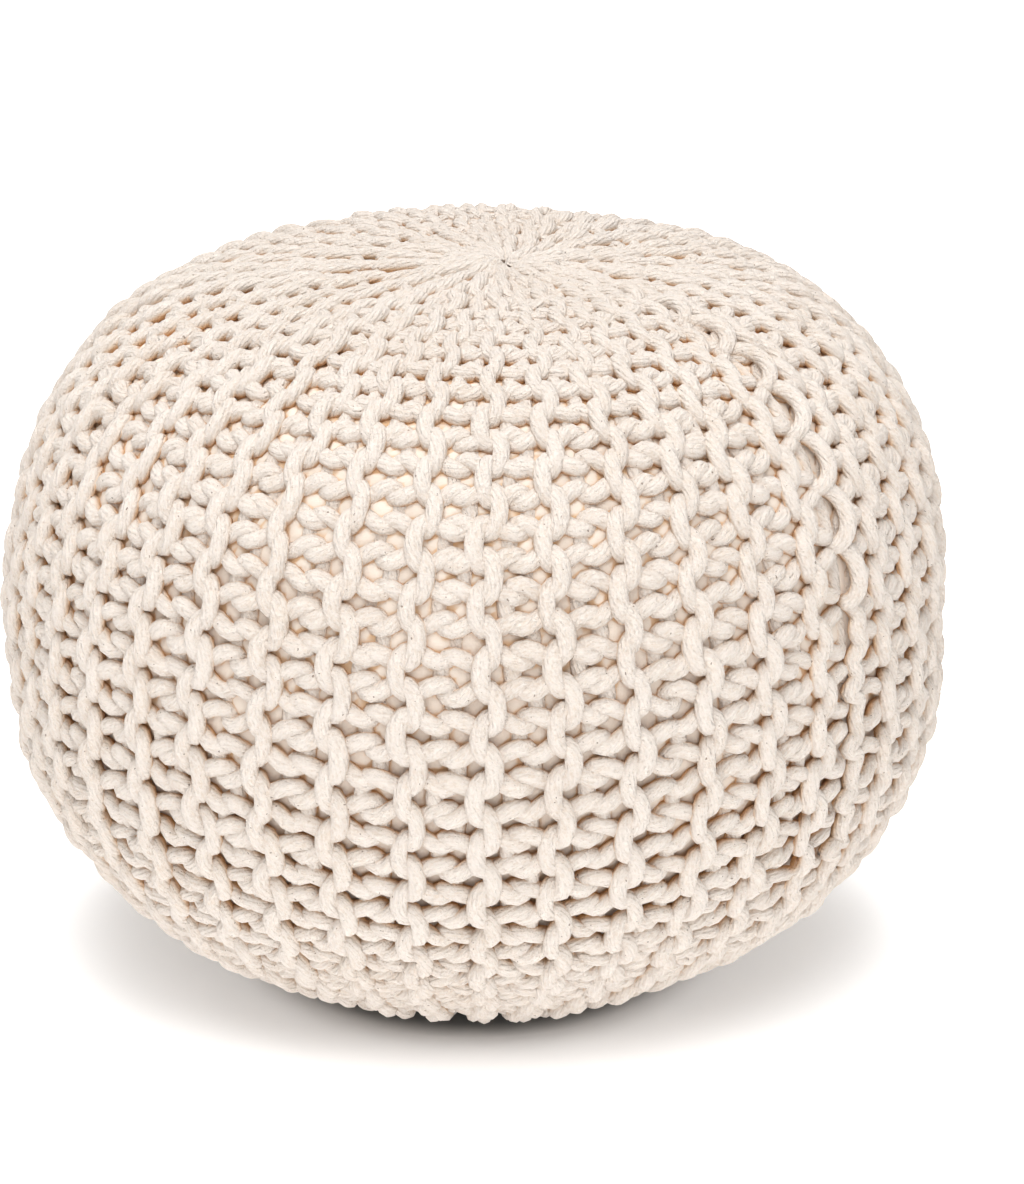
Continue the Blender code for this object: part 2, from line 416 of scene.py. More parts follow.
def lay_rows(cover, meridian, shapes, rng):
    """The cords of all rows, as arrays of rows by points."""
    rows = cover.rows
    count = cover.stitches * SAMPLES
    row = np.arange(rows)[:, None]
    step = np.arange(count)[None, :]
    row_turn = math.tau / (rows + 1)
    straight = cover.end_radius + stitch_pitch(cover, meridian) * step / SAMPLES + np.zeros((rows, 1))
    middle = SEAM_AZIMUTH + (row + 1) * row_turn + np.zeros((1, count))
    radius = meridian.radius_at(straight)

    # Where the fabric is gathered, every second ridge folds away under its neighbours
    fold = 1 - smooth_step(radius, cover.fold_end, cover.fold_start)
    fold = fold * smooth_step(row + 1.0, *FOLD_ROWS) * smooth_step(rows - row, *FOLD_ROWS)
    uneven = FOLD_UNEVEN * ripple(rng, middle, straight, waves=16, length=0.15)
    fold = fold * (1 + uneven).clip(*FOLD_LIMITS)
    spacing = row_turn * radius * (1 + cover.fold_swell * fold * np.cos((row - 0.5) * math.pi / 2))

    # The settled stitch for the row spacing at each point
    place = np.interp(spacing, ROW_SPACINGS[::-1], np.arange(len(ROW_SPACINGS))[::-1])
    lower = np.floor(place).astype(int).clip(0, len(ROW_SPACINGS) - 2)
    sample = step % SAMPLES + np.zeros((rows, 1), int)
    kind = row % 2 + np.zeros((1, count), int)
    shape = mixed(shapes[lower, kind, sample], shapes[lower + 1, kind, sample], (place - lower)[..., None])

    # Towards both ends the loops die out into single strands that are squeezed together
    loops = smooth_step(radius, cover.strand_radius, cover.loop_radius)
    upper = smooth_step(meridian.height_at(straight), *CROWN_HEIGHT)
    flat = 1 - (1 - cover.flatness) * upper * (1 - smooth_step(spacing, *TIGHT_SPACING))
    girth = mixed(cover.crown_girth, 1.0, smooth_step(spacing, *SQUEEZED_SPACING))
    girth = girth * (1 + GIRTH_UNEVEN * ripple(rng, middle, straight, waves=30, length=0.05))

    # Between the crown's ridges the cord is pulled thin, less on the right and least in front
    sunk = np.clip(-shape[..., 2] / SUNK_DEPTH, 0, 1)
    pull = smooth_step(np.sin(middle), *SIDE_SINE) * mixed(PULL_RIGHT, 1.0, 0.5 - 0.5 * np.cos(middle))
    thin = sunk * loops * (1 - smooth_step(spacing, *THIN_SPACING)) * mixed(PULL_FRONT, 1.0, upper * pull)
    girth = girth * (1 - cover.valley_thin * thin)

    # The cord is lumpy, and each lump is spread over three points
    lumps = rng.normal(size=(rows, count))
    lumps = 0.5 * lumps + 0.25 * (np.roll(lumps, 1, axis=1) + np.roll(lumps, -1, axis=1))
    thick = cover.cord * (girth + cover.lumps * lumps)

    # Near the middle the strands lie over each other and dive into the mouth
    order = np.array(STRAND_LAYERS)[row % len(STRAND_LAYERS)]
    crowd = (rows * thick / (math.tau * np.maximum(radius, LEAST_RADIUS)) - 1).clip(0, MOST_LAYERS)
    depth = cover.cord / 2 - shape[..., 2] * flat * loops + order * crowd * (1 - loops) * thick / 2
    depth = depth + cover.mouth_depth * (1 - smooth_step(radius, *MOUTH_RADIUS))

    place = [straight + shape[..., 0] * loops, shape[..., 1] * loops, depth]
    for number, (size, waves, length) in enumerate(DRIFTS):
        place[number] = place[number] + size * ripple(rng, middle, straight, waves, length)
    for number, size in enumerate(SHIFTS):
        place[number] = place[number] + stitch_shifts(cover, rng, size)
    along, across, depth = place

    # Garter stitch draws in on itself, so the fabric sinks between its ridges
    ridge = (row - 0.5 + across) * math.pi
    valley = np.maximum(smooth_step(spacing, *VALLEY_SPACING), 1 - upper)
    depth = depth + cover.valley * valley * (0.5 - 0.5 * np.cos(ridge))

    # The folds, as one smooth shift of everything across the rows
    across = across + cover.fold_swell * fold * 2 / math.pi * np.sin(ridge / 2)
    depth = depth + cover.fold_depth * fold * (0.5 - 0.5 * np.cos(ridge / 2))
    return cords_at(meridian, along, middle + across * row_turn, depth, thick, thick + cover.relief * flat)


def cover_cords(cover):
    """All rows of the cover as cords."""
    return lay_rows(cover, Meridian(), settled_stitches(cover), np.random.default_rng(SEED))


def cords_at(meridian, along, azimuth, depth, thick, relief):
    """All that a cord's line needs at each of its points."""
    points = meridian.place(along, azimuth, depth)
    points[..., 2] = np.maximum(points[..., 2], thick / 2)
    return {
        "position": points,
        "girth": thick,
        "depth": depth,
        "relief": relief,
        "outward": meridian.outward(along, azimuth),
    }


def lay_seam(cover, meridian, rng):
    """The chain that closes the seam: hooked links above, and drawn straight in the lower half."""
    turn = math.tau * np.arange(cover.stitches * SAMPLES)[None, :] / SAMPLES
    line = meridian.length - cover.end_radius - stitch_pitch(cover, meridian) * turn / math.tau
    straight = SEAM_AZIMUTH + np.zeros_like(line)
    radius = np.maximum(meridian.radius_at(line), SEAM_LEAST_RADIUS)
    slack = smooth_step(line, *SLACK_LINE) * smooth_step(radius, *SLACK_RADIUS)
    along = line + cover.cord * mixed(*SEAM_REACH, slack) * np.sin(turn)
    across = SEAM_WANDER * ripple(rng, straight, line, waves=0, length=0.05)
    across = across - cover.cord * mixed(*SEAM_SWING, slack) * np.cos(turn)
    # Where it is straight, it still reaches a little for each stitch beside it
    hook = np.maximum(0.0, -np.cos(turn)) ** HOOK_POWER * (1 - slack) * smooth_step(radius, *HOOK_RADIUS)
    across = across - cover.hook * hook
    thick = cover.cord * (SEAM_GIRTH + SEAM_UNEVEN * ripple(rng, straight, line, waves=0, length=0.04))
    depth = cover.seam_depth + cover.cord * mixed(*SEAM_RISE, slack) * np.cos(turn - RISE_LEAD)
    return cords_at(meridian, along, straight + across / radius, depth, thick, thick + cover.relief)


# Node trees


class Graph:
    """A node tree that is being built."""

    def __init__(self, tree):
        self.tree = tree

    def node(self, kind, settings=None, sockets=None):
        """Add one node: its settings first, then the values or links of its sockets."""
        node = self.tree.nodes.new(kind)
        for name, value in (settings or {}).items():
            setattr(node, name, value)
        for name, value in (sockets or {}).items():
            self.feed(node.inputs[name], value)
        return node

    def feed(self, socket, value):
        """Link a socket to another, or set its value."""
        if isinstance(value, Value):
            value = value.socket
        if isinstance(value, bpy.types.NodeSocket):
            self.tree.links.new(value, socket)
        else:
            socket.default_value = value

    def value(self, kind, settings=None, sockets=None, output=0):
        """Add a node and return one of its outputs as a number for expressions."""
        return Value(self, self.node(kind, settings, sockets).outputs[output])

    def maths(self, operation, *inputs):
        """Add one Math node."""
        return self.value("ShaderNodeMath", {"operation": operation}, dict(enumerate(inputs)))

    def vector_maths(self, operation, *inputs):
        """Add one Vector Math node."""
        return self.node("ShaderNodeVectorMath", {"operation": operation}, dict(enumerate(inputs)))


class Value:
    """A number's socket that takes part in Python expressions."""

    def __init__(self, graph, socket):
        self.graph = graph
        self.socket = socket

    def math(self, operation, *others):
        """Add one Math node that takes this number first."""
        return self.graph.maths(operation, self, *others)

    def between(self, low, high):
        """0 up to low, 1 from high on, and a smooth rise between."""
        settings = {"interpolation_type": "SMOOTHSTEP"}
        sockets = {"Value": self, "From Min": low, "From Max": high}
        return self.graph.value("ShaderNodeMapRange", settings, sockets)

    def __add__(self, other):
        return self.math("ADD", other)

    __radd__ = __add__

    def __sub__(self, other):
        return self.math("SUBTRACT", other)

    def __rsub__(self, other):
        return self.graph.maths("SUBTRACT", other, self)

    def __mul__(self, other):
        return self.math("MULTIPLY", other)

    __rmul__ = __mul__

    def __truediv__(self, other):
        return self.math("DIVIDE", other)


def new_material(name):
    """A material with one Principled shader, and its tree."""
    material = bpy.data.materials.new(name)
    material.use_nodes = True
    graph = Graph(material.node_tree)
    shader = material.node_tree.nodes["Principled BSDF"]
    return material, graph, shader


def opaque(colour):
    """A colour with full alpha."""
    return (*colour, 1.0)


def mix_colours(graph, factor, first, second):
    """A colour between two others."""
    sockets = {"Factor": factor, 6: first, 7: second}
    return graph.node("ShaderNodeMix", {"data_type": "RGBA"}, sockets).outputs[2]


def attribute(graph, name):
    """A number that the mesh carries at each point."""
    return graph.value("ShaderNodeAttribute", {"attribute_name": name}, output=2)


def noise(graph, vector, scale, detail, roughness):
    """A noise between 0 and 1."""
    sockets = {"Vector": vector, "Scale": scale, "Detail": detail, "Roughness": roughness}
    return graph.value("ShaderNodeTexNoise", None, sockets)


def object_place(graph):
    """The place on the object, in metres."""
    return graph.node("ShaderNodeTexCoord").outputs["Object"]


def finish_cotton(graph, shader, colour, height, strength, distance, roughness):
    """Give a shader its colour and relief, and the dull surface of cotton."""
    sockets = {"Strength": strength, "Distance": distance, "Height": height}
    bump = graph.node("ShaderNodeBump", None, sockets)
    graph.feed(shader.inputs["Base Color"], colour)
    graph.feed(shader.inputs["Normal"], bump.outputs[0])
    shader.inputs["Roughness"].default_value = roughness
    shader.inputs["Specular IOR Level"].default_value = 0.2


def yarn_material(cover):
    """Soft cotton cord: low twist, loose fibres and a few dark flecks of seed husk. It has painted warm
    and brown shade where it lies deep or faces inwards.
    """
    material, graph, shader = new_material("cover_yarn")
    along = attribute(graph, "along")
    position = object_place(graph)

    # The plies and fibres follow the cord's twist
    turned = attribute(graph, "round_north").math("ARCTAN2", attribute(graph, "round_east"))
    turned = turned + along * (math.tau / cover.twist)
    plies = (turned * cover.plies).math("SINE").math("ABSOLUTE")
    sockets = {
        0: turned.math("COSINE") * FIBRES_ROUND,
        1: turned.math("SINE") * FIBRES_ROUND,
        2: along * FIBRES_ALONG,
    }
    place = graph.node("ShaderNodeCombineXYZ", None, sockets).outputs[0]
    strands = noise(graph, place, scale=1.3, detail=3.0, roughness=0.6)
    fuzz = noise(graph, position, scale=1100.0, detail=3.0, roughness=0.65)
    tufts = noise(graph, position, scale=330.0, detail=3.0, roughness=0.6)
    patches = noise(graph, position, scale=30.0, detail=2.0, roughness=0.5)
    height = plies * PLY_RELIEF + strands * cover.streaks + fuzz * FUZZ_RELIEF + tufts * cover.tufts

    parts = TONE_PARTS
    tone = strands * parts[0] + fuzz * parts[1] + tufts * parts[2] + patches * parts[3]
    tone = tone.between(*TONE)
    colour = mix_colours(graph, tone, opaque(cover.shade_colour), opaque(cover.light_colour))

    # Painted shade: where the cord lies deep or faces inwards, as where other cords shade it, it is
    # painted warm and then brown
    low = attribute(graph, "sunk") + patches * DEPTH_PATCHES + tufts * DEPTH_TUFTS - DEPTH_MEAN
    under = 1 - attribute(graph, "facing").between(*FACING)
    painted_warm_shade = low.between(*PAINTED_WARM_SHADE_UNDER) * under + low.between(*PAINTED_WARM_SHADE_DEEP)
    colour = mix_colours(graph, painted_warm_shade, colour, opaque(cover.painted_warm_shade_colour))
    painted_brown_shade = low.between(*PAINTED_BROWN_SHADE_UNDER) * under * PAINTED_BROWN_SHADE_SHARE + low.between(*PAINTED_BROWN_SHADE_DEEP) * PAINTED_BROWN_SHADE_SHARE
    colour = mix_colours(graph, painted_brown_shade, colour, opaque(cover.painted_deep_shade_colour))

    husks = noise(graph, position, scale=620.0, detail=0.0, roughness=0.5)
    husks = husks.math("GREATER_THAN", HUSK_LEVEL) * HUSK_SHARE
    colour = mix_colours(graph, husks, colour, HUSK_COLOUR)
    finish_cotton(graph, shader, colour, height, 1.0, YARN_BUMP, roughness=0.95)
    shader.inputs["Sheen Weight"].default_value = 0.15
    shader.inputs["Sheen Roughness"].default_value = 0.5
    return material


def cord_tree():
    """Geometry nodes that turn a line of points into a round cord with its own coordinates."""
    tree = bpy.data.node_groups.new("cord", "GeometryNodeTree")
    for label, kind in (("Geometry", "Geometry"), ("Sides", "Int"), ("Material", "Material")):
        tree.interface.new_socket(label, in_out="INPUT", socket_type="NodeSocket" + kind)
    tree.interface.new_socket("Geometry", in_out="OUTPUT", socket_type="NodeSocketGeometry")
    graph = Graph(tree)
    source = graph.node("NodeGroupInput")

    def stored(geometry, name, value):
        """Keep a number on each point under a name."""
        settings = {"data_type": "FLOAT", "domain": "POINT"}
        sockets = {"Geometry": geometry, "Name": name, "Value": value}
        return graph.node("GeometryNodeStoreNamedAttribute", settings, sockets).outputs[0]

    def named(name, kind="FLOAT"):
        """Read an attribute by its name."""
        return graph.value("GeometryNodeInputNamedAttribute", {"data_type": kind}, {"Name": name})

    line = graph.node("GeometryNodeMeshToCurve", None, {0: source.outputs["Geometry"]})
    parameter = graph.node("GeometryNodeSplineParameter")
    cord = stored(line.outputs[0], "along", parameter.outputs["Length"])
    # The profile is one across, and the cord's thickness scales it
    sockets = {"Resolution": source.outputs["Sides"], "Radius": 0.5}
    ring = graph.node("GeometryNodeCurvePrimitiveCircle", {"mode": "RADIUS"}, sockets)
    angle = graph.value("GeometryNodeSplineParameter", output="Factor") * math.tau
    profile = stored(ring.outputs[0], "round_east", angle.math("COSINE"))
    profile = stored(profile, "round_north", angle.math("SINE"))
    sockets = {"Curve": cord, "Profile Curve": profile, "Scale": named("girth"), "Fill Caps": True}
    tube = graph.node("GeometryNodeCurveToMesh", None, sockets)
    # How deep each point of the surface lies, as a share of the relief, and how far it faces outwards
    position = graph.node("GeometryNodeInputPosition").outputs[0]
    offset = graph.vector_maths("SUBTRACT", position, named("centre", "FLOAT_VECTOR")).outputs[0]
    product = graph.vector_maths("DOT_PRODUCT", offset, named("outward", "FLOAT_VECTOR"))
    rise = Value(graph, product.outputs["Value"])
    shell = stored(tube.outputs[0], "sunk", (named("depth") - rise) / named("relief"))
    shell = stored(shell, "facing", rise * 2 / named("girth"))
    for name in ("centre", "outward", "girth", "depth", "relief"):
        sockets = {"Geometry": shell, "Name": name}
        shell = graph.node("GeometryNodeRemoveAttribute", None, sockets).outputs[0]
    smooth = graph.node("GeometryNodeSetShadeSmooth", None, {"Geometry": shell})
    real = graph.node("GeometryNodeRealizeInstances", None, {"Geometry": smooth.outputs[0]})
    sockets = {"Geometry": real.outputs[0], "Material": source.outputs["Material"]}
    finish = graph.node("GeometryNodeSetMaterial", None, sockets)
    out = graph.node("NodeGroupOutput")
    tree.links.new(finish.outputs[0], out.inputs[0])
    return tree


def socket_name(tree, label):
    """The identifier of a tree's input, by its label."""
    for item in tree.interface.items_tree:
        if item.name == label and item.in_out == "INPUT":
            return item.identifier
    raise ValueError(f"no input called {label}")


def add_object(name, data):
    """An object in the scene for a mesh, a light or a camera."""
    result = bpy.data.objects.new(name, data)
    bpy.context.scene.collection.objects.link(result)
    return result


def plain_mesh(source, name):
    """A plain mesh object with everything that the source's modifiers make."""
    depsgraph = bpy.context.evaluated_depsgraph_get()
    mesh = bpy.data.meshes.new_from_object(source.evaluated_get(depsgraph), depsgraph=depsgraph)
    mesh.name = name
    result = add_object(name, mesh)
    bpy.data.objects.remove(source, do_unlink=True)
    return result


def keep_values(mesh, label, kind, values):
    """Keep a number or a vector at each of a mesh's points under a name."""
    field = "value" if kind == "FLOAT" else "vector"
    store = mesh.attributes.new(label, kind, "POINT")
    store.data.foreach_set(field, values.reshape(-1).astype(np.float32))


def cord_object(name, cords, material, sides):
    """Cords along rows of points, as one plain mesh."""
    points = cords["position"]
    rows, count = points.shape[:2]
    mesh = bpy.data.meshes.new(name + "_lines")
    mesh.vertices.add(rows * count)
    mesh.vertices.foreach_set("co", points.reshape(-1).astype(np.float32))
    first = (np.arange(rows)[:, None] * count + np.arange(count - 1)[None, :]).reshape(-1)
    edges = np.stack([first, first + 1], axis=1)
    mesh.edges.add(len(edges))
    mesh.edges.foreach_set("vertices", edges.reshape(-1).astype(np.int32))
    for label in ("girth", "depth", "relief"):
        keep_values(mesh, label, "FLOAT", cords[label])
    keep_values(mesh, "outward", "FLOAT_VECTOR", cords["outward"])
    keep_values(mesh, "centre", "FLOAT_VECTOR", points)
    mesh.update()
    lines = add_object(name + "_lines", mesh)
    tree = cord_tree()
    modifier = lines.modifiers.new("cord", "NODES")
    modifier.node_group = tree
    modifier[socket_name(tree, "Sides")] = sides
    modifier[socket_name(tree, "Material")] = material
    return plain_mesh(lines, name)


# Settings


def amount(name, description, default, **more):
    """A setting that is a number."""
    return FloatProperty(name=name, description=description, default=default, **more)


def metres(name, description, default):
    """A setting that is a length."""
    return amount(name, description, default, unit="LENGTH", precision=4)


def fraction(name, description, default):
    """A setting that is a share of a whole."""
    return amount(name, description, default, subtype="FACTOR", precision=3)


def whole(name, description, default):
    """A setting that is a whole number."""
    return IntProperty(name=name, description=description, default=default)


def tint(name, description, default):
    """A setting that is a colour."""
    return FloatVectorProperty(name=name, description=description, default=default, subtype="COLOR")


class CoverSettings(bpy.types.PropertyGroup):
    """The knitted cover's sizes and colours."""

    rows: whole("Rows", "Rows of stitches round the pouf", 84)
    stitches: whole("Stitches", "Stitches in one row", 24)
    cord: metres("Cord", "Thickness of the cord", 0.0082)
    pitch: metres("Stitch", "Length of a stitch along its row, as it is settled", 0.0272)
    loop_length: metres("Loop", "Length of cord in one stitch of the widest rows", 0.080)
    tighten: amount("Tighten", "How much shorter the loop gets as its row spacing narrows", 0.3)
    crossing: fraction("Crossing", "Share of its thickness that the cord keeps where cords cross", 0.54)
    crowded: fraction("Crowded", "The same share where the rows are narrowest", 0.74)
    press: amount("Press", "How far each settling step presses the stitch down", 0.000012, precision=6)
    bed: metres("Bed", "Depth of the casing under the stitch's middle", 0.0072)
    give: fraction("Give", "How far a stitch on a narrower row changes from one on the widest", 0.2)
    relief: metres("Relief", "Height of a stitch between its lowest and highest cord's middle", 0.0080)
    flatness: fraction("Flatness", "Share of their height that the ridges keep on the crown", 0.6)
    valley: metres("Valley", "How far the fabric sinks between its ridges", 0.0030)
    valley_thin: fraction("Valley thin", "How much thinner the cord is between the crown's ridges", 0.58)
    crown_girth: fraction("Crown girth", "Share of its thickness that a tight cord has", 0.86)
    lumps: fraction("Lumps", "How uneven the cord's thickness is from place to place", 0.022)
    fold_start: metres("Fold start", "Radius at which every second ridge starts to sink", 0.112)
    fold_end: metres("Fold end", "Radius at which those ridges are out of sight", 0.058)
    fold_swell: fraction("Fold swell", "How much room the upper ridges take from the lower ones", 0.65)
    fold_depth: metres("Fold depth", "How far the lower ridges sink", 0.0030)
    loop_radius: metres("Loop radius", "Radius down to which the loops are whole", 0.040)
    strand_radius: metres("Strand radius", "Radius at which only strands are left", 0.014)
    mouth_depth: metres("Mouth depth", "How far the strands dive at the middle", 0.004)
    end_radius: metres("End", "Radius at which a row ends", 0.006)
    seam_depth: metres("Seam depth", "Depth of the seam's cord under the outline", 0.0050)
    hook: metres("Hook", "How far the seam's straight part reaches for each stitch beside it", 0.0080)
    sides: whole("Sides", "Sides of the cord's section", 8)
    pieces: whole("Pieces", "Meshes that the rows are shared between", 6)
    twist: metres("Twist", "Length of one turn of the cord's twist", 0.060)
    plies: whole("Plies", "Strands that are twisted into the cord", 5)
    streaks: amount("Streaks", "How far the relief follows the cord's fibres", 0.75)
    tufts: amount("Tufts", "How far the relief is loose tufts", 2.2)
    light_colour: tint("Light colour", "The cord's raised fibres", (0.93, 0.84, 0.76))
    shade_colour: tint("Shade colour", "The cord between its fibres", (0.82, 0.69, 0.575))
    # Painted shade: the cord is painted in these two colours where it lies deep or faces inwards and other
    # cords shade it
    painted_warm_shade_colour: tint("Warm colour", "The cord where other cords shade it", (0.90, 0.63, 0.40))
    painted_deep_shade_colour: tint("Deep colour", "The cord deep under the pouf's outline", (0.68, 0.34, 0.13))


class CasingSettings(bpy.types.PropertyGroup):
    """The casing's sizes and colours."""

    depth: metres("Depth", "How far the casing lies under the outline where it is widest", 0.0087)
    crown_depth: metres("Crown depth", "How far the casing lies under the outline of the crown", 0.0071)
    end_depth: metres("End depth", "How far the casing lies under the outline at its poles", 0.019)
    low_share: fraction("Low share", "How much of the end depth the casing has in its lower part", 0.32)
    slack: metres("Slack", "How much smaller the casing is before it is filled", 0.005)
    voxel: metres("Voxel", "Size of the casing's faces before it is filled", 0.006)
    spare: fraction("Spare", "How much wider the cloth is cut than the form it starts from", 0.035)
    pressure: amount("Pressure", "How hard the filling pushes", 4.0)
    bulge: metres("Bulge", "How far the casing stands proud between the cords", 0.0012)
    bulge_width: metres("Bulge width", "Distance from a cord at which the casing is free of it", 0.0016)
    thread: metres("Thread", "Width of two threads of the casing's weave", 0.0012)
    colour: tint("Colour", "The casing's cloth", (0.89, 0.79, 0.69))
    # Painted shade: the casing's cloth is painted this warm brown near the cords
    shade_colour: tint("Shade colour", "The casing's cloth under the cords", (0.80, 0.55, 0.33))


class StageSettings(bpy.types.PropertyGroup):
    """The camera, the light and the floor."""

    distance: metres("Distance", "From the camera to the pouf's middle", 1.6)
    elevation: amount("Elevation", "The camera's height as an angle", math.radians(21.5), subtype="ANGLE")
    lens: amount("Lens", "Focal length in millimetres", 99.6)
    sky: amount("Sky", "Strength of the even light all round", 0.38)
    key: amount("Key", "Power of the light above the front", 39.0, unit="POWER")
    front: amount("Front", "Power of the light in front", 12.0, unit="POWER")
    top: amount("Top", "Power of the light above", 39.0, unit="POWER")
    floor_colour: tint("Floor", "The floor's colour", (0.93, 0.93, 0.93))
    floor_glow: amount("Glow", "How much the lit floor shines", 0.6)
    # The floor's painted shadow: where its dark colour ends, and where its glow starts and is whole
    contact_radius: metres("Contact radius", "The floor's paint is dark up to here", 0.092)
    dark_radius: metres("Dark radius", "The floor shines nowhere up to here", 0.10)
    glow_radius: metres("Glow radius", "The floor shines fully from here on", 0.16)


# Pieces


def floor_material(stage):
    """The floor is a lit panel with a painted shadow that is dark under the pouf."""
    material, graph, shader = new_material("floor_paint")
    position = object_place(graph)
    stretched = graph.vector_maths("MULTIPLY_ADD", position, LONG_SCALE, LONG_SHIFT).outputs[0]
    near = Value(graph, graph.vector_maths("LENGTH", position).outputs["Value"])
    far = Value(graph, graph.vector_maths("LENGTH", stretched).outputs["Value"])
    # Painted shadow: the floor's glow fades out towards the pouf
    glow = near.between(stage.dark_radius, stage.dark_radius * ROUND_WIDTH) * ROUND_SHARE
    glow = glow + far.between(stage.dark_radius, stage.glow_radius) * (1 - ROUND_SHARE)
    graph.feed(shader.inputs["Emission Color"], mix_colours(graph, glow, BLACK, WHITE))
    # Painted contact shadow: the floor's colour turns dark under the pouf
    lit = near.between(stage.contact_radius, stage.contact_radius * CONTACT_WIDTH)
    colour = mix_colours(graph, lit, PAINTED_CONTACT_SHADOW_COLOUR, opaque(stage.floor_colour))
    graph.feed(shader.inputs["Base Color"], colour)
    shader.inputs["Emission Strength"].default_value = stage.floor_glow
    shader.inputs["Roughness"].default_value = 0.8
    return material


def add_softbox(name, place, size, power):
    """A square light that faces the pouf."""
    data = bpy.data.lights.new(name, "AREA")
    data.energy = power
    data.size = size
    lamp = add_object(name, data)
    lamp.location = place
    east, north, up = np.array([0.0, 0.0, HEIGHT / 2]) - np.array(place)
    lamp.rotation_euler = (math.atan2(math.hypot(east, north), -up), 0.0, math.atan2(-east, north))


def add_sky(scene, strength):
    """Even light all round. Past the floor's edge it looks white, however weakly it lights the pouf."""
    world = bpy.data.worlds.new("studio")
    scene.world = world
    world.use_nodes = True
    graph = Graph(world.node_tree)
    background = world.node_tree.nodes["Background"]
    background.inputs["Color"].default_value = WHITE
    seen = graph.value("ShaderNodeLightPath")
    graph.feed(background.inputs["Strength"], seen * (1 - strength) + strength)


def add_camera(scene, stage):
    """The camera in front of the pouf and a little above it."""
    data = bpy.data.cameras.new("camera")
    data.lens = stage.lens
    data.shift_x, data.shift_y = CAMERA_SHIFT
    camera = add_object("camera", data)
    back = stage.distance * math.cos(stage.elevation)
    rise = stage.distance * math.sin(stage.elevation)
    camera.location = (0.0, -back, HEIGHT / 2 + rise)
    camera.rotation_euler = (math.pi / 2 - stage.elevation, 0.0, 0.0)
    scene.camera = camera


class POUF_OT_set_stage(bpy.types.Operator):
    """Put up the floor, the studio light and the camera"""

    bl_idname = "pouf.set_stage"
    bl_label = "Set stage"

    def execute(self, context):
        scene = context.scene
        stage = scene.pouf_stage
        scene.view_settings.view_transform = "Standard"
        mesh = bpy.data.meshes.new("studio_floor")
        corners = [(east * FLOOR_REACH, north * FLOOR_REACH, 0.0) for east, north in SQUARE]
        mesh.from_pydata(corners, [], [(0, 1, 2, 3)])
        mesh.materials.append(floor_material(stage))
        floor = add_object("studio_floor", mesh)
        add_sky(scene, stage.sky)
        for name, (place, size) in LIGHTS.items():
            add_softbox(name + "_light", place, size, getattr(stage, name))
        add_camera(scene, stage)
        return {"FINISHED"}


class POUF_OT_knit_cover(bpy.types.Operator):
    """Knit the cover: settle one stitch, lay its rows over the pouf and thicken them into cord"""

    bl_idname = "pouf.knit_cover"
    bl_label = "Knit cover"

    def execute(self, context):
        cover = context.scene.pouf_cover
        cords = cover_cords(cover)
        material = yarn_material(cover)
        rows = cover.rows // cover.pieces
        for number in range(cover.pieces):
            part = {label: values[number * rows:(number + 1) * rows] for label, values in cords.items()}
            piece = cord_object(f"cover_knit_{number + 1}", part, material, cover.sides)
            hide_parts("knitted_cover")
            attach(piece, "root")
        return {"FINISHED"}


class POUF_OT_sew_seam(bpy.types.Operator):
    """Draw one cord through the loops of the first row and the last"""

    bl_idname = "pouf.sew_seam"
    bl_label = "Sew seam"

    def execute(self, context):
        cover = context.scene.pouf_cover
        cords = lay_seam(cover, Meridian(), np.random.default_rng(SEED + 1))
        piece = cord_object("cover_seam", cords, yarn_material(cover), cover.sides)
        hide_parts("knitted_cover")
        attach(piece, "root")
        return {"FINISHED"}


def casing_form(casing, meridian):
    """The casing before it is filled: a closed form inside the cover, a little too small."""
    along = np.linspace(0.0, meridian.length, CASING_RINGS + 1)[1:-1]
    azimuths = np.arange(CASING_COLUMNS) / CASING_COLUMNS * math.tau
    height = meridian.height_at(along)
    ends = 1 - smooth_step(meridian.radius_at(along), *CASING_END_RADIUS)
    lower = 1 - smooth_step(height, *CASING_LOW_HEIGHT)
    depth = casing.depth + (casing.crown_depth - casing.depth) * smooth_step(height, *CASING_CROWN_HEIGHT)
    depth = depth + (casing.end_depth - depth) * np.maximum(ends, casing.low_share * lower)
    depth = depth + casing.slack
    grid = meridian.place(
        along[:, None] + np.zeros((1, CASING_COLUMNS)),
        azimuths[None, :] + np.zeros((CASING_RINGS - 1, 1)),
        depth[:, None],
    )
    poles = meridian.place(np.array([0.0, meridian.length]), np.zeros(2), casing.end_depth + casing.slack)
    vertices = np.concatenate([grid.reshape(-1, 3), poles])
    base, top = len(vertices) - 2, len(vertices) - 1
    last = (CASING_RINGS - 2) * CASING_COLUMNS
    faces = []
    for low in range(0, last, CASING_COLUMNS):
        high = low + CASING_COLUMNS
        for column in range(CASING_COLUMNS):
            following = (column + 1) % CASING_COLUMNS
            faces.append((low + column, low + following, high + following, high + column))
    for column in range(CASING_COLUMNS):
        following = (column + 1) % CASING_COLUMNS
        faces.append((base, following, column))
        faces.append((top, last + column, last + following))
    mesh = bpy.data.meshes.new("casing_form")
    mesh.from_pydata([tuple(vertex) for vertex in vertices.tolist()], [], faces)
    form = add_object("casing_form", mesh)
    remesh = form.modifiers.new("remesh", "REMESH")
    remesh.mode = "VOXEL"
    remesh.voxel_size = casing.voxel
    return plain_mesh(form, "casing_start")


def vectors(items, name):
    """A vector of each of a mesh's points or normals, as an array."""
    values = np.zeros(len(items) * 3, np.float32)
    items.foreach_get(name, values)
    return values.reshape(-1, 3).astype(float)


def move_points(mesh, points):
    """Put a mesh's points in new places."""
    mesh.vertices.foreach_set("co", points.astype(np.float32).reshape(-1))
    mesh.update()


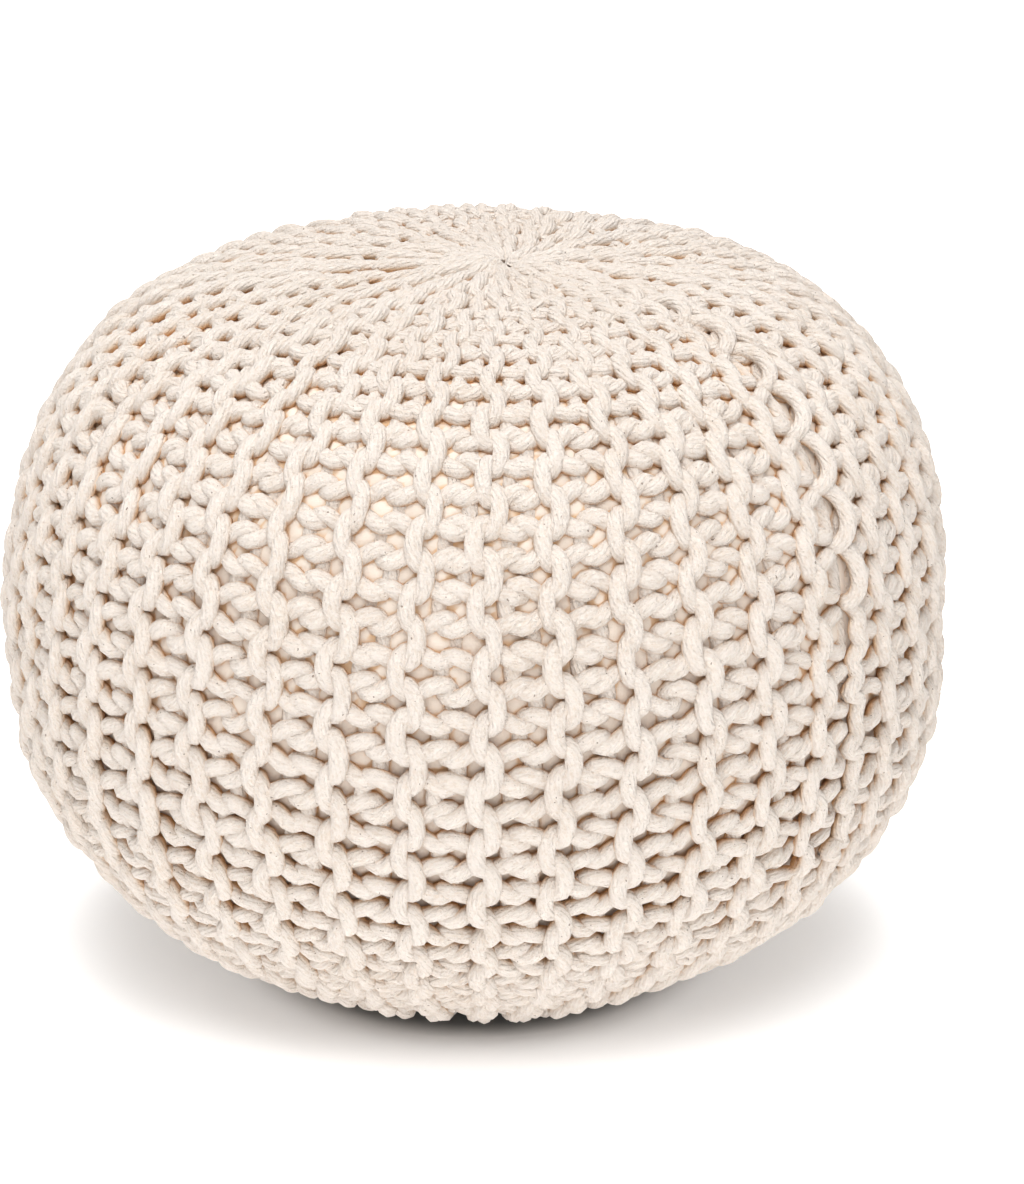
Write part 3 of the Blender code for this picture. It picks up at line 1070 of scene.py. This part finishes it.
def inflate(piece, casing):
    """Fill the casing: its cloth is blown up, and each point ends nearly the whole slack further out."""
    start = vectors(piece.data.vertices, "co")
    cloth = piece.modifiers.new("cloth", "CLOTH")
    cloth.settings.quality = CLOTH_QUALITY
    cloth.settings.mass = CLOTH_MASS
    cloth.settings.use_pressure = True
    cloth.settings.uniform_pressure_force = casing.pressure
    cloth.settings.shrink_min = -casing.spare
    cloth.settings.effector_weights.gravity = 0.0
    cloth.point_cache.frame_start = 1
    cloth.point_cache.frame_end = CLOTH_FRAMES
    scene = bpy.context.scene
    for frame_number in range(1, CLOTH_FRAMES + 1):
        scene.frame_set(frame_number)
    depsgraph = bpy.context.evaluated_depsgraph_get()
    filled = vectors(piece.evaluated_get(depsgraph).data.vertices, "co")
    piece.modifiers.remove(cloth)
    scene.frame_set(1)
    move = filled - start
    normals = vectors(piece.data.vertex_normals, "vector")
    outward = (move * normals).sum(axis=1)
    move = move + normals * np.maximum(0.0, LEAST_FILL * casing.slack - outward)[:, None]
    distance = np.linalg.norm(move, axis=1, keepdims=True)
    move = move * np.minimum(1.0, casing.slack / np.maximum(distance, 1e-9))
    move_points(piece.data, start + move)


def press_cords(piece, cords, casing):
    """Let the cover's cords sink into the casing, and keep how near the closest cord is."""
    lines = cords["position"].reshape(-1, 3)
    girths = cords["girth"].reshape(-1)
    tree = KDTree(len(lines))
    for number, point in enumerate(lines.tolist()):
        tree.insert(point, number)
    tree.balance()
    points = vectors(piece.data.vertices, "co")
    normals = vectors(piece.data.vertex_normals, "vector")
    gaps = np.zeros(len(points))
    for number, point in enumerate(points.tolist()):
        found = tree.find(point)
        gaps[number] = found[2] - girths[found[1]] / 2
    pressed = 1 - smooth_step(gaps, -CORD_OVERLAP, casing.bulge_width)
    points = points - normals * (pressed * casing.bulge)[:, None]
    points[:, 2] = np.maximum(points[:, 2], CASING_FLOOR_GAP)
    move_points(piece.data, points)
    keep_values(piece.data, "pressed", "FLOAT", pressed)


def casing_material(casing):
    """Plain woven cotton, with painted warm shade near the cords, where they shade it."""
    material, graph, shader = new_material("casing_cloth")
    position = object_place(graph)
    parts = graph.node("ShaderNodeSeparateXYZ", None, {0: position})
    east, north, up = (Value(graph, parts.outputs[number]) for number in range(3))
    warp = (north.math("ARCTAN2", east) * (math.tau * WEAVE_RADIUS / casing.thread)).math("SINE")
    weft = (up * (math.tau / casing.thread)).math("SINE")
    weave = (warp * weft).math("ABSOLUTE")
    mottle = noise(graph, position, scale=60.0, detail=3.0, roughness=0.6)
    # Painted shade: near a cord the cloth's colour is mixed towards the shade colour
    near = attribute(graph, "pressed") + mottle * PAINTED_CORD_SHADE_MOTTLE - PAINTED_CORD_SHADE_MOTTLE / 2
    near = near.between(*PAINTED_CORD_SHADE_RANGE)
    colour = mix_colours(graph, near, opaque(casing.colour), opaque(casing.shade_colour))
    finish_cotton(graph, shader, colour, weave, 0.6, WEAVE_BUMP, roughness=0.9)
    return material


class POUF_OT_fill_casing(bpy.types.Operator):
    """Make the casing inside the cover and blow it up until it meets the cords"""

    bl_idname = "pouf.fill_casing"
    bl_label = "Fill casing"

    def execute(self, context):
        casing = context.scene.pouf_casing
        piece = casing_form(casing, Meridian())
        inflate(piece, casing)
        finer = piece.modifiers.new("finer", "SUBSURF")
        finer.levels = 1
        finer.render_levels = 1
        piece = plain_mesh(piece, "casing_cloth")
        press_cords(piece, cover_cords(context.scene.pouf_cover), casing)
        piece.data.shade_smooth()
        piece.data.materials.clear()
        piece.data.materials.append(casing_material(casing))
        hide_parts("inner_casing")
        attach(piece, "root")
        return {"FINISHED"}


class POUF_PT_panel(bpy.types.Panel):
    """Lists the pouf's settings and steps"""

    bl_idname = "POUF_PT_panel"
    bl_label = "Knitted pouf"
    bl_space_type = "VIEW_3D"
    bl_region_type = "UI"
    bl_category = "Pouf"

    def draw(self, context):
        for group in SETTINGS:
            settings = getattr(context.scene, group)
            box = self.layout.box()
            for name in settings.__annotations__:
                box.prop(settings, name)
        for operator in OPERATORS:
            self.layout.operator(operator.bl_idname)


SETTINGS = {"pouf_stage": StageSettings, "pouf_cover": CoverSettings, "pouf_casing": CasingSettings}
OPERATORS = (POUF_OT_set_stage, POUF_OT_knit_cover, POUF_OT_sew_seam, POUF_OT_fill_casing)


def register():
    """Tell Blender of the settings, the operators and the panel."""
    for group in SETTINGS.values():
        bpy.utils.register_class(group)
    for name, group in SETTINGS.items():
        setattr(bpy.types.Scene, name, PointerProperty(type=group))
    for operator in OPERATORS:
        bpy.utils.register_class(operator)
    bpy.utils.register_class(POUF_PT_panel)


def unregister():
    """Take them all away again."""
    bpy.utils.unregister_class(POUF_PT_panel)
    for operator in reversed(OPERATORS):
        bpy.utils.unregister_class(operator)
    for name, group in SETTINGS.items():
        delattr(bpy.types.Scene, name)
        bpy.utils.unregister_class(group)


def main():
    """Make the pouf and its stage."""
    register()
    bpy.ops.pouf.set_stage()
    bpy.ops.pouf.knit_cover()
    bpy.ops.pouf.sew_seam()
    bpy.ops.pouf.fill_casing()


if __name__ == "__main__":
    main()
